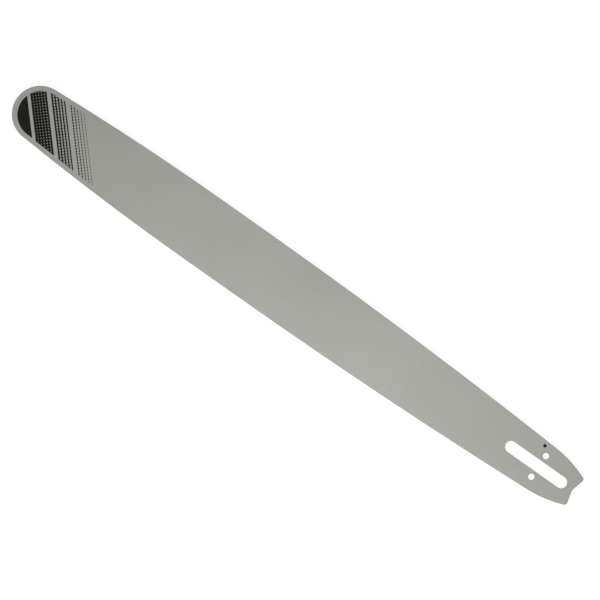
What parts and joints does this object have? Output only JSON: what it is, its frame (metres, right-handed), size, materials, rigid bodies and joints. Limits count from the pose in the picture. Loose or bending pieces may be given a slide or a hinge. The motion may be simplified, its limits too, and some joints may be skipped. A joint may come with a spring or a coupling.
{
  "type": "chainsaw guide bar",
  "caption": "Long flat steel guide bar with a rounded solid nose, a chain groove in its edge, and a stud slot, pin holes and oil holes at the tail.",
  "frame": {"origin": "middle of the stud slot, on the back face of the bar", "axes": "+X along the bar from the stud slot to the nose, +Z out of the front face, +Y across the bar"},
  "size_m": [0.6832, 0.0702, 0.0048],
  "materials": {
    "enamelled_steel": "satin silver-grey enamel on the faces, bare ground steel on the rails and in the groove"
  },
  "bodies": {
    "root": {"guide_bar": "enamelled_steel"}
  },
  "joints": []
}
